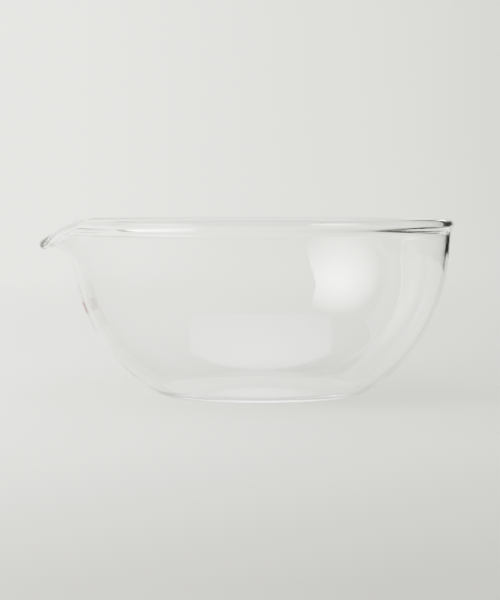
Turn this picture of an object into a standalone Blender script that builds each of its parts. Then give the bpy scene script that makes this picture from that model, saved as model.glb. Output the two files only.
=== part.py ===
"""Clear glass mixing bowl with a drawn pouring spout and a film label under it.

Units are metres and +Z is up. The origin is the centre of the flat foot, which stands on z = 0,
and the spout points along -X.

The glass is thought of as a middle surface, half way through the wall, which is thickened to
both sides: thin in the wall, a little more in the floor and a rolled bead at the rim.
"""

import math

import bmesh
import bpy
from mathutils import Vector

# Overall sizes
RIM_HEIGHT = 0.086
WALL_THICKNESS = 0.0022
FLOOR_THICKNESS = 0.0027
FOOT_FLAT_RADIUS = 0.0495

# Body: the radius of the middle surface follows a superellipse round a widest level, which lies
# just above the rim
WIDEST_RADIUS = 0.0925
WIDEST_LEVEL = 0.090
BODY_DEPTH = 0.1026
LEVEL_POWER = 2.64
RADIUS_POWER = 1.90
HEEL_LEVEL = 0.0036

# Rolled bead: its thickness, how far down its thickest place is, and how fast it fades below
BEAD_THICKNESS = 0.0050
BEAD_CENTRE_DROP = 0.0026
BEAD_FADE = 0.0024

# Spout: the top of the wall is bent outwards over this height, until it lies level
SPOUT_BEND = math.radians(92)
SPOUT_DEPTH = 0.0288
SPOUT_HALF_WIDTH = math.radians(28)
SPOUT_REACH_SHARPNESS = 2.2
SPOUT_DROP_SHARPNESS = 2.4

# Label: a film on the outside of the wall, centred under the spout
LABEL_LOW = 0.0318
LABEL_HIGH = 0.0540
LABEL_WIDTH = 0.040
LABEL_THICKNESS = 0.0002
LABEL_GAP = 0.0003
LABEL_CORNER = 0.003

# Fineness of the meshes. Crowding packs columns closer at the spout and rings closer at the heel.
COLUMNS = 72
COLUMN_CROWDING = 0.55
FLOOR_RINGS = 3
FLOOR_RING_SPACING = 0.006
HEEL_STEPS = 3
WALL_STEPS = 7
WALL_CROWDING = 1.35
NECK_STEPS = 9
BEAD_FADE_STEPS = 3
BEAD_CAP_STEPS = 4
BEND_STEP = 0.0001
LABEL_COLUMNS = 14
LABEL_ROWS = 4
LABEL_CORNER_ROWS = 3
SHARP_ANGLE = math.radians(40)

RIGHT_ANGLE = math.pi / 2


def wall_radius(level):
    """Radius of the middle surface at a height above the table."""
    depth = (WIDEST_LEVEL - level) / BODY_DEPTH
    return WIDEST_RADIUS * (1 - depth**LEVEL_POWER) ** (1 / RADIUS_POWER)


def wall_lean(level):
    """Angle between the wall and the vertical at a height above the table."""
    step = 0.0001
    return math.atan2(wall_radius(level + step) - wall_radius(level - step), 2 * step)


def smooth_step(value):
    """Rises smoothly from 0 to 1 as value goes from 0 to 1."""
    value = min(max(value, 0.0), 1.0)
    return value * value * (3 - 2 * value)


def half_thickness(drop):
    """Half of the glass thickness at a distance below the rim's top, measured along the wall."""
    wall, bead = WALL_THICKNESS / 2, BEAD_THICKNESS / 2
    if drop < BEAD_CENTRE_DROP:
        return bead * math.sqrt(max(0.0, 1 - (1 - drop / BEAD_CENTRE_DROP) ** 2))
    return wall + (bead - wall) * math.exp(-(((drop - BEAD_CENTRE_DROP) / BEAD_FADE) ** 2))


def floor_stations():
    """(radius, height, half thickness) from the middle of the floor to the heel."""
    half = FLOOR_THICKNESS / 2
    inwards = [FLOOR_RING_SPACING * i for i in range(FLOOR_RINGS - 1, -1, -1)]
    return [(FOOT_FLAT_RADIUS - distance, half, half) for distance in inwards]


def heel_stations():
    """The rounded turn from the floor into the wall, as a quadratic curve."""
    floor_half, wall_half = FLOOR_THICKNESS / 2, WALL_THICKNESS / 2
    start = Vector((FOOT_FLAT_RADIUS, floor_half))
    end = Vector((wall_radius(HEEL_LEVEL), HEEL_LEVEL))
    turn = Vector((end.x - (end.y - start.y) * math.tan(wall_lean(HEEL_LEVEL)), start.y))
    stations = []
    for i in range(1, HEEL_STEPS):
        t = i / HEEL_STEPS
        point = start * (1 - t) ** 2 + turn * 2 * t * (1 - t) + end * t**2
        stations.append((point.x, point.y, floor_half + (wall_half - floor_half) * t))
    return stations


def body_levels():
    """Heights of the rings of the plain wall, closer together where it curves most."""
    rise = RIM_HEIGHT - SPOUT_DEPTH - HEEL_LEVEL
    return [HEEL_LEVEL + rise * (i / WALL_STEPS) ** WALL_CROWDING for i in range(WALL_STEPS)]


def rim_drops():
    """Distances below the rim's top of the rings of the neck and of the bead."""
    fade_length = 2 * BEAD_FADE
    neck_end = BEAD_CENTRE_DROP + fade_length
    neck = [SPOUT_DEPTH + (neck_end - SPOUT_DEPTH) * i / NECK_STEPS for i in range(NECK_STEPS)]
    fade = [neck_end - fade_length * i / BEAD_FADE_STEPS for i in range(BEAD_FADE_STEPS)]
    cap = [
        BEAD_CENTRE_DROP * (1 - math.sin(RIGHT_ANGLE * i / BEAD_CAP_STEPS))
        for i in range(BEAD_CAP_STEPS + 1)
    ]
    return neck + fade + cap


def spout_line(drops):
    """(radius, height) of the bent wall in the middle of the spout, at each of the drops."""
    drop = SPOUT_DEPTH
    point = Vector((wall_radius(RIM_HEIGHT - drop), RIM_HEIGHT - drop))
    line = []
    for wanted in drops:
        while drop - BEND_STEP > wanted - BEND_STEP / 2:
            drop -= BEND_STEP
            bend = SPOUT_BEND * smooth_step(1 - drop / SPOUT_DEPTH)
            lean = wall_lean(RIM_HEIGHT - drop) + bend
            point += Vector((math.sin(lean), math.cos(lean))) * BEND_STEP
        line.append(point.copy())
    return line


def spout_share(angle, sharpness):
    """How fully the wall is bent at an angle from the spout's middle, from 0 to 1."""
    if abs(angle) >= SPOUT_HALF_WIDTH:
        return 0.0
    return (0.5 + 0.5 * math.cos(math.pi * angle / SPOUT_HALF_WIDTH)) ** sharpness


def around(radius, height, angle):
    """Point at an angle from the spout's direction, which is -X."""
    return Vector((-radius * math.cos(angle), radius * math.sin(angle), height))


def column_angles():
    """Angles of the columns of the glass, packed closer together at the spout."""
    even = [2 * math.pi * i / COLUMNS - math.pi for i in range(COLUMNS)]
    return [angle - COLUMN_CROWDING * math.sin(angle) for angle in even]


def middle_surface():
    """Columns of points half way through the glass, and the half thickness of each row."""
    plain = floor_stations() + heel_stations()
    plain += [(wall_radius(level), level, WALL_THICKNESS / 2) for level in body_levels()]
    drops = rim_drops()
    bent = spout_line(drops)
    columns = []
    for angle in column_angles():
        reach = spout_share(angle, SPOUT_REACH_SHARPNESS)
        fall = spout_share(angle, SPOUT_DROP_SHARPNESS)
        column = [around(radius, height, angle) for radius, height, _ in plain]
        for drop, spout_point in zip(drops, bent):
            level = RIM_HEIGHT - drop
            radius = wall_radius(level) * (1 - reach) + spout_point.x * reach
            height = level * (1 - fall) + spout_point.y * fall
            column.append(around(radius, height, angle))
        columns.append(column)
    halves = [half for _, _, half in plain] + [half_thickness(drop) for drop in drops]
    return columns, halves


def surface_normal(columns, i, j):
    """Direction into the bowl, square to the middle surface, at column i and row j."""
    if j == 0:
        return Vector((0, 0, 1))
    here = columns[i]
    along = here[min(j + 1, len(here) - 1)] - here[j - 1]
    across = columns[(i + 1) % len(columns)][j] - columns[i - 1][j]
    return across.cross(along).normalized()


def closed_object(name, bm, material):
    """Turns a bmesh into a smooth-shaded object of its own."""
    bmesh.ops.recalc_face_normals(bm, faces=bm.faces)
    mesh = bpy.data.meshes.new(name)
    bm.to_mesh(mesh)
    bm.free()
    mesh.shade_smooth()
    mesh.set_sharp_from_angle(angle=SHARP_ANGLE)
    mesh.materials.append(material)
    piece = bpy.data.objects.new(name, mesh)
    bpy.context.collection.objects.link(piece)
    return piece


def principled(name, colour, roughness, metallic, transmission, ior):
    """A named Principled material."""
    material = bpy.data.materials.new(name)
    material.use_nodes = True
    shader = material.node_tree.nodes["Principled BSDF"]
    shader.inputs["Base Color"].default_value = (*colour, 1.0)
    shader.inputs["Roughness"].default_value = roughness
    shader.inputs["Metallic"].default_value = metallic
    shader.inputs["Transmission Weight"].default_value = transmission
    shader.inputs["IOR"].default_value = ior
    material.diffuse_color = (*colour, 1.0)
    return material


def make_glass_bowl():
    """The whole vessel: foot, wall, rolled rim and spout are one continuous glass body."""
    columns, halves = middle_surface()
    last = len(halves) - 1
    bm = bmesh.new()
    outside, inside = [], []
    for i, column in enumerate(columns):
        normals = [surface_normal(columns, i, j) for j in range(last)]
        outside.append([bm.verts.new(p - n * h) for p, n, h in zip(column, normals, halves)])
        inside.append([bm.verts.new(p + n * h) for p, n, h in zip(column, normals, halves)])
        tip = bm.verts.new(column[last])
        outside[i].append(tip)
        inside[i].append(tip)
    for i in range(len(columns)):
        k = (i + 1) % len(columns)
        for skin in (outside, inside):
            for j in range(last):
                corners = (skin[i][j], skin[k][j], skin[k][j + 1], skin[i][j + 1])
                bm.faces.new(corners)
    bm.faces.new([column[0] for column in outside])
    bm.faces.new([column[0] for column in inside])
    clear_glass = principled("clear_glass", (0.96, 0.98, 0.97), 0.02, 0.0, 1.0, 1.47)
    return closed_object("glass_bowl", bm, clear_glass)


def label_heights():
    """Heights of the label's rows; the rows of its rounded corners are closer together."""
    turns = [RIGHT_ANGLE * i / LABEL_CORNER_ROWS for i in range(LABEL_CORNER_ROWS + 1)]
    low = [LABEL_LOW + LABEL_CORNER * (1 - math.cos(turn)) for turn in turns]
    high = [LABEL_HIGH - LABEL_CORNER * (1 - math.cos(turn)) for turn in reversed(turns)]
    span = high[0] - low[-1]
    middle = [low[-1] + span * i / LABEL_ROWS for i in range(1, LABEL_ROWS)]
    return low + middle + high


def label_half_width(height):
    """Half of the label's width at a height, less where its corners are rounded."""
    into_corner = LABEL_CORNER - min(height - LABEL_LOW, LABEL_HIGH - height)
    if into_corner <= 0:
        return LABEL_WIDTH / 2
    into_corner = min(into_corner, LABEL_CORNER)
    rounding = LABEL_CORNER - math.sqrt(LABEL_CORNER**2 - into_corner**2)
    return LABEL_WIDTH / 2 - rounding


def make_label():
    """A thin film that follows the outside of the wall, a hair's gap away from it."""
    bm = bmesh.new()
    skins = []
    for distance in (LABEL_GAP, LABEL_GAP + LABEL_THICKNESS):
        offset = WALL_THICKNESS / 2 + distance
        rows = []
        for height in label_heights():
            lean = wall_lean(height)
            radius = wall_radius(height) + offset * math.cos(lean)
            level = height - offset * math.sin(lean)
            half_angle = label_half_width(height) / radius
            steps = [2 * i / LABEL_COLUMNS - 1 for i in range(LABEL_COLUMNS + 1)]
            rows.append([bm.verts.new(around(radius, level, half_angle * s)) for s in steps])
        skins.append(rows)
    for rows in skins:
        for low, high in zip(rows, rows[1:]):
            for i in range(LABEL_COLUMNS):
                bm.faces.new((low[i], low[i + 1], high[i + 1], high[i]))
    borders = []
    for rows in skins:
        right = [row[-1] for row in rows[1:]]
        left = [row[0] for row in reversed(rows[1:-1])]
        borders.append(rows[0] + right + list(reversed(rows[-1][:-1])) + left)
    inner, outer = borders
    for i in range(len(inner)):
        k = (i + 1) % len(inner)
        bm.faces.new((inner[i], inner[k], outer[k], outer[i]))
    pale_film = principled("pale_film", (0.80, 0.79, 0.77), 0.45, 0.0, 0.0, 1.5)
    return closed_object("label", bm, pale_film)


def main():
    for old in list(bpy.data.objects):
        bpy.data.objects.remove(old, do_unlink=True)
    make_glass_bowl()
    make_label()


main()
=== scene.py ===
"""Clear glass mixing bowl with a drawn pouring spout: the finished glass, its label and a studio.

Run as a script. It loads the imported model, adds one finished piece for each of its solids and sets
up a round paper cove with soft light. Units are metres, +Z is up, the spout points along -X and
the foot's centre is the origin.
"""

import math

import bmesh
import bpy
from bpy.props import FloatProperty, FloatVectorProperty, IntProperty, PointerProperty
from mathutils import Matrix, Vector


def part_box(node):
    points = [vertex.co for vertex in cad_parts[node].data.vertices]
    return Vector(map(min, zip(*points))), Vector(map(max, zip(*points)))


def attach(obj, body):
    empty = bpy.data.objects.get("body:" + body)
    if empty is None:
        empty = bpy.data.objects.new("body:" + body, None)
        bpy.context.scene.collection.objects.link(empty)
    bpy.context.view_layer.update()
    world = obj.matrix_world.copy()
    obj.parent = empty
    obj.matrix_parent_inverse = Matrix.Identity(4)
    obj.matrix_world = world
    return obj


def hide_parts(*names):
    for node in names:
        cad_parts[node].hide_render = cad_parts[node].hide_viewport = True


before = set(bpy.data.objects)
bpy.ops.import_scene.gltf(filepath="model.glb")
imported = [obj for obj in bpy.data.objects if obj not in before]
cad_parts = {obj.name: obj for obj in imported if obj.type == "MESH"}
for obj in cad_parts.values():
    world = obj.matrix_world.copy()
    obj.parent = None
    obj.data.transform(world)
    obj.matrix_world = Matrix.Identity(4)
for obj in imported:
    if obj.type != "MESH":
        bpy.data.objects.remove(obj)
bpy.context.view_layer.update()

bl_info = {
    "name": "Glass Mixing Bowl",
    "version": (1, 0, 0),
    "blender": (4, 5, 0),
    "location": "View3D > Sidebar > Mixing Bowl",
    "description": "Adds a clear glass mixing bowl with a spout, its label and a soft studio",
    "category": "Add Mesh",
}

BOWL_LOW, BOWL_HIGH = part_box("glass_bowl")
LABEL_LOW, LABEL_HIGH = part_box("label")
RIGHT_ANGLE = math.pi / 2
FULL_TURN = 2 * math.pi
PAPER_GAP = 0.0001


# ---------------------------------------------------------------------------------------------
# Sizes and colours that a user would change
# ---------------------------------------------------------------------------------------------


class GlassSettings(bpy.types.PropertyGroup):
    """Sizes and finish of the glass body."""

    rim_height: FloatProperty(
        name="Rim Height", description="Height of the rim's top", default=BOWL_HIGH.z, unit="LENGTH"
    )
    wall: FloatProperty(
        name="Wall", description="Thickness of the wall", default=0.0022, unit="LENGTH"
    )
    floor: FloatProperty(
        name="Floor", description="Thickness of the floor", default=0.0027, unit="LENGTH"
    )
    bead: FloatProperty(
        name="Bead", description="Thickness of the rolled rim", default=0.0050, unit="LENGTH"
    )
    foot_radius: FloatProperty(
        name="Foot Radius", description="Radius of the flat foot", default=0.0495, unit="LENGTH"
    )
    spout_depth: FloatProperty(
        name="Spout Depth",
        description="Height of the wall that is bent outwards to form the spout",
        default=0.0288,
        unit="LENGTH",
    )
    spout_bend: FloatProperty(
        name="Spout Bend",
        description="How far the lip is turned outwards",
        default=math.radians(92),
        subtype="ANGLE",
    )
    spout_half_width: FloatProperty(
        name="Spout Half Width",
        description="Angle from the spout's middle to where the rim is round again",
        default=math.radians(28),
        subtype="ANGLE",
    )
    unevenness: FloatProperty(
        name="Unevenness",
        description="How much the hand-formed wall wavers in thickness",
        default=0.00001,
        unit="LENGTH",
    )
    columns: IntProperty(name="Columns", description="Columns round the bowl", default=288)
    tint: FloatVectorProperty(
        name="Tint",
        description="Colour that a long way through the glass takes on",
        default=(0.80, 0.93, 0.85),
        subtype="COLOR",
    )
    tint_density: FloatProperty(
        name="Tint Density", description="How quickly the tint builds up", default=2.0
    )


class LabelSettings(bpy.types.PropertyGroup):
    """Sizes and colours of the film label."""

    film: FloatVectorProperty(
        name="Film", description="Colour of the film", default=(0.80, 0.79, 0.76), subtype="COLOR"
    )
    bar: FloatVectorProperty(
        name="Bar",
        description="Colour of the plain printed bar",
        default=(0.72, 0.16, 0.12),
        subtype="COLOR",
    )
    bar_width: FloatProperty(
        name="Bar Width", description="Width of the printed bar", default=0.031, unit="LENGTH"
    )
    bar_height: FloatProperty(
        name="Bar Height", description="Height of the printed bar", default=0.006, unit="LENGTH"
    )
    thickness: FloatProperty(
        name="Thickness", description="Thickness of the film", default=0.0002, unit="LENGTH"
    )
    corner: FloatProperty(
        name="Corner", description="Radius of the corners", default=0.003, unit="LENGTH"
    )


class StageSettings(bpy.types.PropertyGroup):
    """The paper cove, the light panels and the camera."""

    paper: FloatVectorProperty(
        name="Paper",
        description="Colour of the paper",
        default=(0.38, 0.378, 0.369),
        subtype="COLOR",
    )
    # Painted shade: the paper's colour is darker to the right of the bowl.
    painted_shade_share: FloatProperty(
        name="Near Shade",
        description="Brightness of the paper to the right of the bowl, as a share of the rest",
        default=0.42,
    )
    # Painted light: the paper gives off this light itself. No lamp shines through it from behind.
    painted_paper_glow: FloatProperty(
        name="Paper Glow", description="Light that comes through the paper from behind", default=0.98
    )
    # Colour of the painted light that the paper gives off itself.
    painted_glow_colour: FloatVectorProperty(
        name="Glow Colour",
        description="Colour of the light that comes through the paper",
        default=(0.99, 1.0, 0.90),
        subtype="COLOR",
    )
    cove_radius: FloatProperty(
        name="Cove Radius",
        description="Distance from the bowl at which the paper starts to rise",
        default=1.25,
        unit="LENGTH",
    )
    key_radiance: FloatProperty(
        name="Key Brightness", description="Brightness of the left panel's hot spot", default=29.0
    )
    key_colour: FloatVectorProperty(
        name="Key Colour",
        description="Colour of the left panel's light",
        default=(1.0, 0.975, 0.88),
        subtype="COLOR",
    )
    key_distance: FloatProperty(
        name="Key Distance",
        description="Distance of the left panel from the bowl",
        default=1.15,
        unit="LENGTH",
    )
    key_turn: FloatProperty(
        name="Key Turn",
        description="Angle from the camera to the left panel, seen from the bowl",
        default=math.radians(-58),
        subtype="ANGLE",
    )
    key_rise: FloatProperty(
        name="Key Rise",
        description="Angle of the left panel above the table",
        default=math.radians(22),
        subtype="ANGLE",
    )
    top_radiance: FloatProperty(
        name="Top Brightness", description="Brightness of the overhead panel's middle", default=6.4
    )
    top_height: FloatProperty(
        name="Top Height", description="Height of the panel overhead", default=1.0, unit="LENGTH"
    )
    room: FloatVectorProperty(
        name="Room",
        description="Colour of the dim room",
        default=(0.03, 0.03, 0.03),
        subtype="COLOR",
    )
    camera_distance: FloatProperty(
        name="Camera Distance",
        description="Distance from the camera to the bowl's axis",
        default=0.895,
        unit="LENGTH",
    )
    camera_above_rim: FloatProperty(
        name="Camera Above Rim",
        description="Height of the camera above the rim",
        default=0.0095,
        unit="LENGTH",
    )


class MixingBowlSettings(bpy.types.PropertyGroup):
    """Everything that the panel shows."""

    glass: PointerProperty(type=GlassSettings, name="Glass", description="The glass body")
    label: PointerProperty(type=LabelSettings, name="Label", description="The film label")
    stage: PointerProperty(type=StageSettings, name="Stage", description="Paper, lights, camera")


# ---------------------------------------------------------------------------------------------
# Small helpers
# ---------------------------------------------------------------------------------------------


def smooth_step(value):
    """Rises smoothly from 0 to 1 as value goes from 0 to 1."""
    value = min(max(value, 0.0), 1.0)
    return value * value * (3 - 2 * value)


def around(radius, height, angle):
    """Point at an angle from the spout's direction, which is -X."""
    return Vector((-radius * math.cos(angle), radius * math.sin(angle), height))


def object_from(name, bm, material, sharp_angle=RIGHT_ANGLE):
    """Turns a bmesh into a smooth-shaded object in the scene."""
    bmesh.ops.recalc_face_normals(bm, faces=bm.faces)
    mesh = bpy.data.meshes.new(name)
    bm.to_mesh(mesh)
    bm.free()
    mesh.shade_smooth()
    mesh.set_sharp_from_angle(angle=sharp_angle)
    mesh.materials.append(material)
    piece = bpy.data.objects.new(name, mesh)
    bpy.context.scene.collection.objects.link(piece)
    return piece


def add_node(nodes, kind, place, **settings):
    """Adds a node of a kind, sets its attributes and returns it."""
    node = nodes.new(kind)
    node.location = place
    for name, value in settings.items():
        setattr(node, name, value)
    return node


def add_range(nodes, place, source=(0.0, 1.0), result=(0.0, 1.0), **settings):
    """Adds a node that turns the source range of a value into the result range."""
    node = add_node(nodes, "ShaderNodeMapRange", place, **settings)
    node.inputs["From Min"].default_value, node.inputs["From Max"].default_value = source
    node.inputs["To Min"].default_value, node.inputs["To Max"].default_value = result
    return node


# ---------------------------------------------------------------------------------------------
# The shape of the glass
# ---------------------------------------------------------------------------------------------


class GlassShape:
    """Middle surface of the glass and its thickness, worked out from the settings."""

    widest_level = 0.090
    body_depth = 0.1026
    level_power = 2.64
    radius_power = 1.90
    heel_level = 0.0036
    bead_centre_drop = 0.0026
    bead_fade = 0.0024
    reach_sharpness = 2.2
    drop_sharpness = 2.4
    column_crowding = 0.55
    bend_step = 0.00005
    floor_rings = 10
    heel_steps = 8
    wall_steps = 34
    wall_crowding = 1.35
    neck_steps = 36
    fade_steps = 12
    cap_steps = 9

    def __init__(self, settings):
        self.settings = settings
        self.widest_radius = BOWL_HIGH.x - settings.bead / 2

    def radius(self, level):
        """Radius of the middle surface at a height above the table."""
        depth = (self.widest_level - level) / self.body_depth
        return self.widest_radius * (1 - depth**self.level_power) ** (1 / self.radius_power)

    def lean(self, level):
        """Angle between the wall and the vertical at a height above the table."""
        step = self.bend_step
        return math.atan2(self.radius(level + step) - self.radius(level - step), 2 * step)

    def half_thickness(self, drop):
        """Half of the thickness at a distance below the rim's top, measured along the wall."""
        wall, bead = self.settings.wall / 2, self.settings.bead / 2
        below = drop - self.bead_centre_drop
        if below < 0:
            return bead * math.sqrt(max(0.0, 1 - (below / self.bead_centre_drop) ** 2))
        return wall + (bead - wall) * math.exp(-((below / self.bead_fade) ** 2))

    def floor_stations(self):
        """(radius, height, half thickness) from near the middle of the floor to the heel."""
        half = self.settings.floor / 2
        share = [(i + 1) / self.floor_rings for i in range(self.floor_rings)]
        return [(self.settings.foot_radius * s, half, half) for s in share]

    def heel_stations(self):
        """The rounded turn from the floor into the wall, as a quadratic curve."""
        floor_half, wall_half = self.settings.floor / 2, self.settings.wall / 2
        start = Vector((self.settings.foot_radius, floor_half))
        end = Vector((self.radius(self.heel_level), self.heel_level))
        turn = Vector((end.x - (end.y - start.y) * math.tan(self.lean(end.y)), start.y))
        stations = []
        for i in range(1, self.heel_steps):
            t = i / self.heel_steps
            point = start * (1 - t) ** 2 + turn * 2 * t * (1 - t) + end * t**2
            stations.append((point.x, point.y, floor_half + (wall_half - floor_half) * t))
        return stations

    def wall_stations(self):
        """The plain wall between the heel and the depth at which the spout starts."""
        rise = self.settings.rim_height - self.settings.spout_depth - self.heel_level
        share = [(i / self.wall_steps) ** self.wall_crowding for i in range(self.wall_steps)]
        levels = [self.heel_level + rise * s for s in share]
        return [(self.radius(level), level, self.settings.wall / 2) for level in levels]

    def rim_drops(self):
        """Distances below the rim's top of the rings of the neck and of the bead."""
        depth, fade_length = self.settings.spout_depth, 2 * self.bead_fade
        neck_end = self.bead_centre_drop + fade_length
        neck = [depth + (neck_end - depth) * i / self.neck_steps for i in range(self.neck_steps)]
        fade = [neck_end - fade_length * i / self.fade_steps for i in range(self.fade_steps)]
        turns = [RIGHT_ANGLE * i / self.cap_steps for i in range(self.cap_steps + 1)]
        return neck + fade + [self.bead_centre_drop * (1 - math.sin(turn)) for turn in turns]

    def spout_line(self, drops):
        """(radius, height) of the bent wall in the middle of the spout, at each of the drops."""
        depth, height = self.settings.spout_depth, self.settings.rim_height
        drop = depth
        point = Vector((self.radius(height - drop), height - drop))
        line = []
        for wanted in drops:
            while drop - self.bend_step > wanted - self.bend_step / 2:
                drop -= self.bend_step
                bend = self.settings.spout_bend * smooth_step(1 - drop / depth)
                lean = self.lean(height - drop) + bend
                point += Vector((math.sin(lean), math.cos(lean))) * self.bend_step
            line.append(point.copy())
        return line

    def spout_share(self, angle, sharpness):
        """How fully the wall is bent at an angle from the spout's middle, from 0 to 1."""
        half_width = self.settings.spout_half_width
        if abs(angle) >= half_width:
            return 0.0
        return (0.5 + 0.5 * math.cos(math.pi * angle / half_width)) ** sharpness

    def columns(self):
        """Columns of points half way through the glass, and the half thickness of each row."""
        plain = self.floor_stations() + self.heel_stations() + self.wall_stations()
        drops = self.rim_drops()
        bent = self.spout_line(drops)
        count = self.settings.columns
        columns = []
        for i in range(count):
            even = FULL_TURN * i / count - math.pi
            angle = even - self.column_crowding * math.sin(even)
            reach = self.spout_share(angle, self.reach_sharpness)
            fall = self.spout_share(angle, self.drop_sharpness)
            column = [around(radius, height, angle) for radius, height, _ in plain]
            for drop, spout_point in zip(drops, bent):
                level = self.settings.rim_height - drop
                radius = self.radius(level) * (1 - reach) + spout_point.x * reach
                height = level * (1 - fall) + spout_point.y * fall
                column.append(around(radius, height, angle))
            columns.append(column)
        halves = [half for _, _, half in plain] + [self.half_thickness(drop) for drop in drops]
        return columns, halves

    def waver(self, point):
        """Small change in thickness at a point, from the way that the glass was formed."""
        turn = math.atan2(point.y, point.x)
        rise = point.z / self.settings.rim_height
        slow = math.sin(3 * turn + 4.1 * rise) + math.sin(5 * turn - 7.3 * rise + 1.0)
        quick = math.sin(9 * turn + 11.0 * rise + 2.0) * math.sin(13.0 * rise + 0.7)
        return self.settings.unevenness * (slow + quick) * smooth_step(4 * rise)


def surface_normal(columns, i, j):
    """Direction into the bowl, square to the middle surface, at column i and row j."""
    floor_rows = 2
    if j < floor_rows:
        return Vector((0, 0, 1))
    here = columns[i]
    along = here[min(j + 1, len(here) - 1)] - here[j - 1]
    across = columns[(i + 1) % len(columns)][j] - columns[i - 1][j]
    return across.cross(along).normalized()


def build_glass(settings, material):
    """The closed glass body: an outer and an inner skin that meet in the rolled rim."""
    shape = GlassShape(settings)
    columns, halves = shape.columns()
    last = len(halves) - 1
    bm = bmesh.new()
    outside, inside = [], []
    for i, column in enumerate(columns):
        outer_column, inner_column = [], []
        for j in range(last):
            normal = surface_normal(columns, i, j)
            point, half = column[j], halves[j]
            outer_column.append(bm.verts.new(point - normal * half))
            inner_column.append(bm.verts.new(point + normal * (half + shape.waver(point))))
        tip = bm.verts.new(column[last])
        outside.append(outer_column + [tip])
        inside.append(inner_column + [tip])
    for skin in (outside, inside):
        for left, right in zip(skin, skin[1:] + skin[:1]):
            for j in range(last):
                bm.faces.new((left[j], right[j], right[j + 1], left[j + 1]))
        first_ring = [column[0] for column in skin]
        middle = sum((vert.co for vert in first_ring), Vector()) / len(first_ring)
        centre = bm.verts.new(middle)
        for left, right in zip(first_ring, first_ring[1:] + first_ring[:1]):
            bm.faces.new((left, right, centre))
    return object_from("clear_glass_bowl", bm, material)


# ---------------------------------------------------------------------------------------------
# The shape of the label
# ---------------------------------------------------------------------------------------------


def label_rows(low, high, corner, corner_rows=8, rows=16):
    """Heights of the label's rows; the rows of its rounded corners are closer together."""
    turns = [RIGHT_ANGLE * i / corner_rows for i in range(corner_rows + 1)]
    bottom = [low + corner * (1 - math.cos(turn)) for turn in turns]
    top = [high - corner * (1 - math.cos(turn)) for turn in reversed(turns)]
    span = top[0] - bottom[-1]
    middle = [bottom[-1] + span * i / rows for i in range(1, rows)]
    return bottom + middle + top


def build_label(glass, settings, material):
    """A thin film with rounded corners that follows the outside of the wall under the spout."""
    shape = GlassShape(glass)
    gap = 0.0003
    columns = 40
    half_width = LABEL_HIGH.y
    lean_at = shape.lean((LABEL_LOW.z + LABEL_HIGH.z) / 2)
    sink = (glass.wall / 2 + gap) * math.sin(lean_at)
    low, high = LABEL_LOW.z + sink, LABEL_HIGH.z + sink
    steps = [2 * i / columns - 1 for i in range(columns + 1)]
    bm = bmesh.new()
    skins = []
    for distance in (gap, gap + settings.thickness):
        offset = glass.wall / 2 + distance
        rows = []
        for height in label_rows(low, high, settings.corner):
            into_corner = settings.corner - min(height - low, high - height)
            into_corner = min(max(into_corner, 0.0), settings.corner)
            rounding = settings.corner - math.sqrt(settings.corner**2 - into_corner**2)
            lean = shape.lean(height)
            radius = shape.radius(height) + offset * math.cos(lean)
            level = height - offset * math.sin(lean)
            half_angle = (half_width - rounding) / radius
            rows.append([bm.verts.new(around(radius, level, half_angle * s)) for s in steps])
        skins.append(rows)
    for rows in skins:
        for lower, upper in zip(rows, rows[1:]):
            for i in range(columns):
                bm.faces.new((lower[i], lower[i + 1], upper[i + 1], upper[i]))
    borders = []
    for rows in skins:
        right = [row[-1] for row in rows[1:]]
        left = [row[0] for row in reversed(rows[1:-1])]
        borders.append(rows[0] + right + list(reversed(rows[-1][:-1])) + left)
    inner, outer = borders
    for i in range(len(inner)):
        k = (i + 1) % len(inner)
        bm.faces.new((inner[i], inner[k], outer[k], outer[i]))
    return object_from("film_label", bm, material, math.radians(50))


# ---------------------------------------------------------------------------------------------
# Finishes
# ---------------------------------------------------------------------------------------------


def handling_marks_group():
    """Node group: a mask of the faint wipe marks on anything that is handled and cleaned."""
    name = "handling_marks"
    if name in bpy.data.node_groups:
        return bpy.data.node_groups[name]
    group = bpy.data.node_groups.new(name, "ShaderNodeTree")
    sockets = group.interface
    sockets.new_socket("Wipe Scale", in_out="INPUT", socket_type="NodeSocketFloat")
    sockets.new_socket("Wipes", in_out="OUTPUT", socket_type="NodeSocketFloat")
    nodes, links = group.nodes, group.links
    entry = add_node(nodes, "NodeGroupInput", (-800, 0))
    leave = add_node(nodes, "NodeGroupOutput", (200, 250))
    place = add_node(nodes, "ShaderNodeTexCoord", (-800, 250))
    stretch = add_node(nodes, "ShaderNodeMapping", (-600, 250))
    stretch.inputs["Scale"].default_value = (1.0, 1.0, 0.35)
    wipes = add_node(nodes, "ShaderNodeTexNoise", (-350, 250))
    wipes.inputs["Detail"].default_value = 6.0
    wipes.inputs["Distortion"].default_value = 1.2
    mask = add_range(nodes, (-100, 250), source=(0.48, 0.80), interpolation_type="SMOOTHSTEP")
    links.new(place.outputs["Object"], stretch.inputs["Vector"])
    links.new(stretch.outputs["Vector"], wipes.inputs["Vector"])
    links.new(entry.outputs["Wipe Scale"], wipes.inputs["Scale"])
    links.new(wipes.outputs["Fac"], mask.inputs["Value"])
    links.new(mask.outputs["Result"], leave.inputs["Wipes"])
    return group


def marks_node(nodes, place, wipe_scale):
    """Places the handling marks in a material with its own scale."""
    marks = add_node(nodes, "ShaderNodeGroup", place, node_tree=handling_marks_group())
    marks.inputs["Wipe Scale"].default_value = wipe_scale
    return marks


def new_material(name):
    """A material with a Principled shader; returns it with its nodes, links and shader."""
    material = bpy.data.materials.new(name)
    material.use_nodes = True
    nodes, links = material.node_tree.nodes, material.node_tree.links
    return material, nodes, links, nodes["Principled BSDF"]


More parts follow.
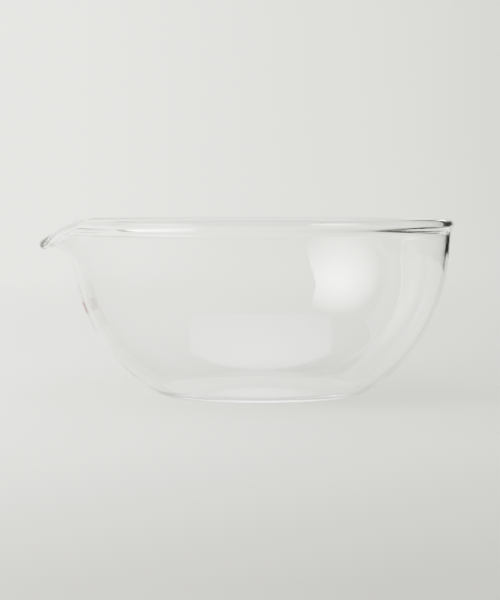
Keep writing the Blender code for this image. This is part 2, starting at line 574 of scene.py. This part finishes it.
def clear_glass_material(settings):
    """Fire-finished clear glass: nearly colourless, softly rippled, with a few wipe marks."""
    material, nodes, links, shader = new_material("clear_glass")
    shader.inputs["Base Color"].default_value = (1.0, 1.0, 1.0, 1.0)
    shader.inputs["Metallic"].default_value = 0.0
    shader.inputs["Transmission Weight"].default_value = 1.0
    shader.inputs["IOR"].default_value = 1.473
    wiped_roughness = 0.035
    marks = marks_node(nodes, (-600, 0), wipe_scale=38.0)
    gloss = add_range(nodes, (-350, 0), result=(0.0, wiped_roughness))
    place = add_node(nodes, "ShaderNodeTexCoord", (-900, -350))
    ripple = add_node(nodes, "ShaderNodeTexNoise", (-600, -350))
    ripple.inputs["Scale"].default_value = 32.0
    ripple.inputs["Detail"].default_value = 1.0
    bump = add_node(nodes, "ShaderNodeBump", (-300, -350))
    bump.inputs["Strength"].default_value = 0.10
    bump.inputs["Distance"].default_value = 0.001
    links.new(marks.outputs["Wipes"], gloss.inputs["Value"])
    links.new(gloss.outputs["Result"], shader.inputs["Roughness"])
    links.new(place.outputs["Object"], ripple.inputs["Vector"])
    links.new(ripple.outputs["Fac"], bump.inputs["Height"])
    links.new(bump.outputs["Normal"], shader.inputs["Normal"])
    tint = add_node(nodes, "ShaderNodeVolumeAbsorption", (0, -300))
    tint.inputs["Color"].default_value = (*settings.tint, 1.0)
    tint.inputs["Density"].default_value = settings.tint_density
    links.new(tint.outputs["Volume"], nodes["Material Output"].inputs["Volume"])
    return material


def film_material(settings):
    """Pale, partly clear label film with a plain printed bar and faint wipe marks."""
    material, nodes, links, shader = new_material("pale_film")
    shader.inputs["Metallic"].default_value = 0.0
    shader.inputs["IOR"].default_value = 1.5
    middle = (LABEL_LOW.z + LABEL_HIGH.z) / 2
    bar_top, bar_side = settings.bar_height / 2, settings.bar_width / 2
    print_blur = 0.0003
    film_cover, bar_cover = 0.24, 0.75
    new_roughness, wiped_roughness = 0.28, 0.55
    place = add_node(nodes, "ShaderNodeTexCoord", (-1400, 200))
    parts = add_node(nodes, "ShaderNodeSeparateXYZ", (-1200, 200))
    rise = add_node(nodes, "ShaderNodeMath", (-1000, 300), operation="SUBTRACT")
    rise.inputs[1].default_value = middle
    far_up = add_node(nodes, "ShaderNodeMath", (-820, 300), operation="ABSOLUTE")
    bar_high = add_range(nodes, (-620, 350), source=(bar_top, bar_top - print_blur))
    far_side = add_node(nodes, "ShaderNodeMath", (-820, 100), operation="ABSOLUTE")
    bar_wide = add_range(nodes, (-620, 100), source=(bar_side, bar_side - print_blur))
    bar = add_node(nodes, "ShaderNodeMath", (-420, 250), operation="MULTIPLY")
    paint = add_node(nodes, "ShaderNodeMix", (-200, 250), data_type="RGBA")
    paint.inputs["A"].default_value = (*settings.film, 1.0)
    paint.inputs["B"].default_value = (*settings.bar, 1.0)
    marks = marks_node(nodes, (-620, -150), wipe_scale=90.0)
    gloss = add_range(nodes, (-200, -100), result=(new_roughness, wiped_roughness))
    cover = add_range(nodes, (-200, -350), result=(film_cover, bar_cover))
    grain = add_node(nodes, "ShaderNodeTexNoise", (-620, -550))
    grain.inputs["Scale"].default_value = 2500.0
    bump = add_node(nodes, "ShaderNodeBump", (-200, -600))
    bump.inputs["Strength"].default_value = 0.15
    bump.inputs["Distance"].default_value = 0.0001
    links.new(place.outputs["Object"], parts.inputs["Vector"])
    links.new(parts.outputs["Z"], rise.inputs[0])
    links.new(rise.outputs["Value"], far_up.inputs[0])
    links.new(far_up.outputs["Value"], bar_high.inputs["Value"])
    links.new(parts.outputs["Y"], far_side.inputs[0])
    links.new(far_side.outputs["Value"], bar_wide.inputs["Value"])
    links.new(bar_high.outputs["Result"], bar.inputs[0])
    links.new(bar_wide.outputs["Result"], bar.inputs[1])
    links.new(bar.outputs["Value"], paint.inputs["Factor"])
    links.new(paint.outputs["Result"], shader.inputs["Base Color"])
    links.new(marks.outputs["Wipes"], gloss.inputs["Value"])
    links.new(gloss.outputs["Result"], shader.inputs["Roughness"])
    links.new(bar.outputs["Value"], cover.inputs["Value"])
    links.new(cover.outputs["Result"], shader.inputs["Alpha"])
    links.new(place.outputs["Object"], grain.inputs["Vector"])
    links.new(grain.outputs["Fac"], bump.inputs["Height"])
    links.new(bump.outputs["Normal"], shader.inputs["Normal"])
    return material


def paper_material(settings):
    """Matt paper with a hardly visible mottle, painted shade and painted light that it gives off
    itself.

    Its colour is darker to the right of the bowl, which is painted shade. The painted light that the
    paper gives off itself is strongest far off and to the left, and weakest near the bowl and in
    front of it.
    """
    mottle_share = 0.02
    # Painted shade: the paper's colour darkens along this direction, to the right of the bowl.
    painted_shade_direction, painted_shade_span = (1.3, -0.30, 0.0), (-0.22, 0.18)
    # Painted light: the paper glows by itself, more far off and to the left, less near the bowl and
    # in front.
    painted_glow_span, painted_near_glow = (0.10, 1.40), 0.61
    side_span, painted_left_glow, painted_right_glow = (-0.50, 0.50), 2.0, 0.93
    front_span, painted_front_glow = (-0.45, -0.20), 0.52
    material, nodes, links, shader = new_material("studio_paper")
    shader.inputs["Roughness"].default_value = 0.9
    shader.inputs["Specular IOR Level"].default_value = 0.1
    place = add_node(nodes, "ShaderNodeTexCoord", (-1200, 0))
    parts = add_node(nodes, "ShaderNodeSeparateXYZ", (-1000, -200))
    mottle = add_node(nodes, "ShaderNodeTexNoise", (-800, 300))
    mottle.inputs["Scale"].default_value = 9.0
    mottle.inputs["Detail"].default_value = 8.0
    speckle = add_range(nodes, (-600, 300), result=(-mottle_share, mottle_share))
    # Painted shade: the mottle is the paper's own tone, and the darkening to the right of the bowl
    # is painted.
    painted_shade_side = add_node(nodes, "ShaderNodeVectorMath", (-800, 0), operation="DOT_PRODUCT")
    painted_shade_side.inputs[1].default_value = painted_shade_direction
    near = add_range(nodes, (-600, 0), source=painted_shade_span)
    shade = add_node(nodes, "ShaderNodeMath", (-400, 150), operation="ADD")
    paint = add_node(nodes, "ShaderNodeMix", (-200, 150), data_type="RGBA")
    paint.inputs["A"].default_value = (*settings.paper, 1.0)
    paint.inputs["B"].default_value = (*[c * settings.painted_shade_share for c in settings.paper], 1.0)
    links.new(place.outputs["Object"], parts.inputs["Vector"])
    links.new(place.outputs["Object"], mottle.inputs["Vector"])
    links.new(mottle.outputs["Fac"], speckle.inputs["Value"])
    links.new(place.outputs["Object"], painted_shade_side.inputs[0])
    links.new(painted_shade_side.outputs["Value"], near.inputs["Value"])
    links.new(speckle.outputs["Result"], shade.inputs[0])
    links.new(near.outputs["Result"], shade.inputs[1])
    links.new(shade.outputs["Value"], paint.inputs["Factor"])
    links.new(paint.outputs["Result"], shader.inputs["Base Color"])
    # Painted light: the paper glows by itself, which also lightens the shadow round the bowl.
    away = add_node(nodes, "ShaderNodeVectorMath", (-800, -500), operation="LENGTH")
    far = add_range(nodes, (-600, -500), source=painted_glow_span, result=(painted_near_glow, 1.0))
    side_result = painted_left_glow * settings.painted_paper_glow, painted_right_glow * settings.painted_paper_glow
    side = add_range(nodes, (-600, -250), source=side_span, result=side_result)
    front = add_range(nodes, (-600, -750), source=front_span, result=(painted_front_glow, 1.0))
    across = add_node(nodes, "ShaderNodeMath", (-400, -350), operation="MULTIPLY")
    glow = add_node(nodes, "ShaderNodeMath", (-200, -400), operation="MULTIPLY")
    shader.inputs["Emission Color"].default_value = (*settings.painted_glow_colour, 1.0)
    links.new(place.outputs["Object"], away.inputs[0])
    links.new(away.outputs["Value"], far.inputs["Value"])
    links.new(parts.outputs["X"], side.inputs["Value"])
    links.new(parts.outputs["Y"], front.inputs["Value"])
    links.new(far.outputs["Result"], across.inputs[0])
    links.new(side.outputs["Result"], across.inputs[1])
    links.new(across.outputs["Value"], glow.inputs[0])
    links.new(front.outputs["Result"], glow.inputs[1])
    links.new(glow.outputs["Value"], shader.inputs["Emission Strength"])
    return material


def glow_material(name, colour, radiance, reach, edge_share, squeeze=1.0, lift=0.0):
    """Light panel: falls from its hottest spot to edge_share of that at a reach in metres.

    The spot is lift metres above the panel's middle, and squeeze times wider than it is tall.
    """
    material = bpy.data.materials.new(name)
    material.use_nodes = True
    nodes, links = material.node_tree.nodes, material.node_tree.links
    nodes.clear()
    leave = add_node(nodes, "ShaderNodeOutputMaterial", (300, 0))
    glow = add_node(nodes, "ShaderNodeEmission", (100, 0))
    glow.inputs["Color"].default_value = (*colour, 1.0)
    place = add_node(nodes, "ShaderNodeTexCoord", (-700, 0))
    spot = add_node(nodes, "ShaderNodeMapping", (-600, 200))
    spot.inputs["Location"].default_value = (0.0, -lift * squeeze, 0.0)
    spot.inputs["Scale"].default_value = (1.0, squeeze, 1.0)
    far = add_node(nodes, "ShaderNodeVectorMath", (-500, 0), operation="LENGTH")
    fall = add_range(nodes, (-300, 0), source=(0.0, reach), result=(radiance, radiance * edge_share))
    links.new(place.outputs["Object"], spot.inputs["Vector"])
    links.new(spot.outputs["Vector"], far.inputs[0])
    links.new(far.outputs["Value"], fall.inputs["Value"])
    links.new(fall.outputs["Result"], glow.inputs["Strength"])
    links.new(glow.outputs["Emission"], leave.inputs["Surface"])
    return material


# ---------------------------------------------------------------------------------------------
# The studio
# ---------------------------------------------------------------------------------------------


def toward(turn, height_angle):
    """Direction from the bowl: turn is to the camera's right of the camera, height_angle is up."""
    flat = math.cos(height_angle)
    return Vector((math.sin(turn) * flat, -math.cos(turn) * flat, math.sin(height_angle)))


def stage_mesh(name, corners, faces, material):
    """A stage object from points and faces."""
    mesh = bpy.data.meshes.new(name)
    mesh.from_pydata([tuple(corner) for corner in corners], [], faces)
    mesh.shade_smooth()
    mesh.materials.append(material)
    thing = bpy.data.objects.new(name, mesh)
    bpy.context.scene.collection.objects.link(thing)
    return thing


def cove_profile(radius):
    """(distance, height) of the paper where it leaves the floor and curves up into the wall."""
    bend_radius, bend_steps = 0.9, 16
    wall_step, wall_rows = 0.3, 3
    turns = [RIGHT_ANGLE * i / bend_steps for i in range(bend_steps + 1)]
    bend = [(radius + bend_radius * math.sin(t), bend_radius * (1 - math.cos(t))) for t in turns]
    top = [(radius + bend_radius, bend_radius + wall_step * (i + 1)) for i in range(wall_rows)]
    return bend + top


def build_floor(settings, material):
    """Round paper floor, a hair below the bowl's foot."""
    spokes, rings = 120, 10
    level = Vector((0, 0, -PAPER_GAP))
    corners = [level]
    for j in range(1, rings + 1):
        ring = settings.cove_radius * (j / rings)
        corners += [toward(FULL_TURN * i / spokes, 0.0) * ring + level for i in range(spokes)]
    faces = [(0, 1 + i, 1 + (i + 1) % spokes) for i in range(spokes)]
    for j in range(rings - 1):
        start = 1 + j * spokes
        for i in range(spokes):
            k = (i + 1) % spokes
            faces.append((start + i, start + spokes + i, start + spokes + k, start + k))
    return stage_mesh("paper_floor", corners, faces, material)


def build_cove(settings, material, first_turn, last_turn, name):
    """The rising part of the paper between two turns round the bowl."""
    profile = cove_profile(settings.cove_radius)
    column_turn = math.radians(3)
    count = round((last_turn - first_turn) / column_turn)
    corners, faces = [], []
    for i in range(count + 1):
        turn = first_turn + (last_turn - first_turn) * i / count
        for distance, height in profile:
            corners.append(toward(turn, 0.0) * distance + Vector((0, 0, height - PAPER_GAP)))
    rows = len(profile)
    for i in range(count):
        for j in range(rows - 1):
            start = i * rows + j
            faces.append((start, start + 1, start + rows + 1, start + rows))
    return stage_mesh(name, corners, faces, material)


def build_panel(name, material, outline, centre, target):
    """A flat light panel that faces the target. The camera itself doesn't see it."""
    count = len(outline)
    rings = 6
    corners = [Vector((0, 0, 0))]
    for j in range(1, rings + 1):
        corners += [Vector((x, y, 0)) * (j / rings) for x, y in outline]
    faces = [(0, 1 + i, 1 + (i + 1) % count) for i in range(count)]
    for j in range(rings - 1):
        start = 1 + j * count
        for i in range(count):
            k = (i + 1) % count
            faces.append((start + i, start + count + i, start + count + k, start + k))
    panel = stage_mesh(name, corners, faces, material)
    panel.location = centre
    panel.rotation_euler = (target - centre).to_track_quat("-Z", "Y").to_euler()
    panel.visible_camera = False
    return panel


def build_key_panel(settings):
    """Large soft box to the left of the camera; its edge on the camera's side slants."""
    colour, radiance = settings.key_colour, settings.key_radiance
    reach, edge_share = 0.72, 0.02
    glow = glow_material("key_panel", colour, radiance, reach, edge_share, squeeze=1.5, lift=0.10)
    far_side, low, high = -0.90, -0.60, 0.60
    camera_side = [(0.82, low), (0.50, -0.10), (0.28, 0.20), (0.20, high)]
    outline = [(far_side, low)] + camera_side + [(far_side, high)]
    centre = toward(settings.key_turn, settings.key_rise) * settings.key_distance
    aim = Vector((0, 0, 0.05))
    return build_panel("key_panel", glow, outline, centre, aim)


def build_top_panel(settings):
    """Soft box overhead with a bowed front edge."""
    white, reach, edge_share = (1.0, 1.0, 1.0), 0.95, 0.1
    glow = glow_material("top_panel", white, settings.top_radiance, reach, edge_share)
    height = settings.top_height
    front_edge = [(-0.82, -0.38), (-0.45, -0.60), (0.0, -0.70), (0.45, -0.60), (0.82, -0.38)]
    back_edge = [(0.5, 0.33), (-0.5, 0.33)]
    outline = [(x * height, y * height) for x, y in front_edge + back_edge]
    # A hair off the vertical, which settles how the panel is turned about its own axis.
    aim = Vector((0, 0.0001, 0))
    return build_panel("top_panel", glow, outline, Vector((0, 0, height)), aim)


def build_dark_flag(name, first_turn, last_turn, distance, low, high):
    """A curved black card that darkens one side of the bowl. The camera itself doesn't see it."""
    material, nodes, links, shader = new_material(name)
    shader.inputs["Base Color"].default_value = (0.01, 0.01, 0.01, 1.0)
    shader.inputs["Roughness"].default_value = 1.0
    column_turn = math.radians(5)
    count = round((last_turn - first_turn) / column_turn)
    corners, faces = [], []
    for i in range(count + 1):
        foot = toward(first_turn + (last_turn - first_turn) * i / count, 0.0) * distance
        corners += [foot + Vector((0, 0, low)), foot + Vector((0, 0, high))]
    for i in range(count):
        faces.append((2 * i, 2 * i + 1, 2 * i + 3, 2 * i + 2))
    flag = stage_mesh(name, corners, faces, material)
    flag.visible_camera = False
    return flag


def set_tones_and_bounces(scene):
    """A film-like shoulder for pale tones, bounces for the light inside the rim, no clamping."""
    bounces = 32
    scene.view_settings.view_transform = "AgX"
    scene.view_settings.look = "AgX - Medium High Contrast"
    scene.cycles.max_bounces = bounces
    scene.cycles.glossy_bounces = bounces
    scene.cycles.transmission_bounces = bounces
    scene.cycles.sample_clamp_indirect = 0.0


def set_room(colour):
    """Dim, even light of the room beyond the paper."""
    world = bpy.data.worlds.new("studio_room")
    world.use_nodes = True
    world.node_tree.nodes["Background"].inputs["Color"].default_value = (*colour, 1.0)
    bpy.context.scene.world = world


def add_camera(settings, rim_height):
    """A long lens a little above the rim, tilted slightly down, with the spout to the left."""
    camera_data = bpy.data.cameras.new("studio_camera")
    camera_data.sensor_width = 36.0
    camera_data.lens = 108.5
    camera = bpy.data.objects.new("studio_camera", camera_data)
    height = rim_height + settings.camera_above_rim
    left_of_axis = 0.00545
    tilt = math.radians(3.186)
    camera.location = (-left_of_axis, -settings.camera_distance, height)
    camera.rotation_euler = (RIGHT_ANGLE - tilt, 0.0, 0.0)
    bpy.context.scene.collection.objects.link(camera)
    bpy.context.scene.camera = camera
    return camera


# ---------------------------------------------------------------------------------------------
# Operators
# ---------------------------------------------------------------------------------------------


class BowlAddGlass(bpy.types.Operator):
    """Add the clear glass body, from its foot to its rolled rim and spout"""

    bl_idname = "mixing_bowl.add_glass"
    bl_label = "Add Glass"

    def execute(self, context):
        settings = context.scene.mixing_bowl.glass
        piece = build_glass(settings, clear_glass_material(settings))
        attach(piece, "root")
        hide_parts("glass_bowl")
        return {"FINISHED"}


class BowlAddLabel(bpy.types.Operator):
    """Add the film label under the spout"""

    bl_idname = "mixing_bowl.add_label"
    bl_label = "Add Label"

    def execute(self, context):
        settings = context.scene.mixing_bowl
        piece = build_label(settings.glass, settings.label, film_material(settings.label))
        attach(piece, "root")
        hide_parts("label")
        return {"FINISHED"}


class BowlAddStage(bpy.types.Operator):
    """Add the paper cove, the lights and the camera"""

    bl_idname = "mixing_bowl.add_stage"
    bl_label = "Add Stage"

    def execute(self, context):
        settings = context.scene.mixing_bowl.stage
        set_tones_and_bounces(context.scene)
        set_room(settings.room)
        paper = paper_material(settings)
        build_floor(settings, paper)
        open_from, open_to = math.radians(-97), math.radians(160)
        build_cove(settings, paper, open_to, FULL_TURN + open_from, "cove_behind")
        front = build_cove(settings, paper, open_from, open_to, "cove_front")
        # Only the camera sees the front of the cove, so the glass reflects the dim room there.
        front.visible_glossy = False
        front.visible_transmission = False
        front.visible_diffuse = False
        build_key_panel(settings)
        build_top_panel(settings)
        right_side = math.radians(98), math.radians(146)
        rear_right = math.radians(150), math.radians(166)
        build_dark_flag("right_flag", *right_side, distance=0.62, low=0.0, high=0.50)
        build_dark_flag("rear_right_flag", *rear_right, distance=1.2, low=0.30, high=0.75)
        add_camera(settings, context.scene.mixing_bowl.glass.rim_height)
        return {"FINISHED"}


class BowlPanel(bpy.types.Panel):
    """Sidebar panel that lists the pieces and their settings"""

    bl_label = "Mixing Bowl"
    bl_idname = "VIEW3D_PT_mixing_bowl"
    bl_space_type = "VIEW_3D"
    bl_region_type = "UI"
    bl_category = "Mixing Bowl"

    def draw(self, context):
        settings = context.scene.mixing_bowl
        groups = (
            (BowlAddGlass, settings.glass),
            (BowlAddLabel, settings.label),
            (BowlAddStage, settings.stage),
        )
        for operator, group in groups:
            box = self.layout.box()
            box.operator(operator.bl_idname)
            for name in group.__annotations__:
                box.prop(group, name)


CLASSES = (
    GlassSettings,
    LabelSettings,
    StageSettings,
    MixingBowlSettings,
    BowlAddGlass,
    BowlAddLabel,
    BowlAddStage,
    BowlPanel,
)


def register():
    for one in CLASSES:
        bpy.utils.register_class(one)
    bpy.types.Scene.mixing_bowl = PointerProperty(type=MixingBowlSettings)


def unregister():
    del bpy.types.Scene.mixing_bowl
    for one in reversed(CLASSES):
        bpy.utils.unregister_class(one)


def main():
    register()
    bpy.ops.mixing_bowl.add_glass()
    bpy.ops.mixing_bowl.add_label()
    bpy.ops.mixing_bowl.add_stage()


if __name__ == "__main__":
    main()
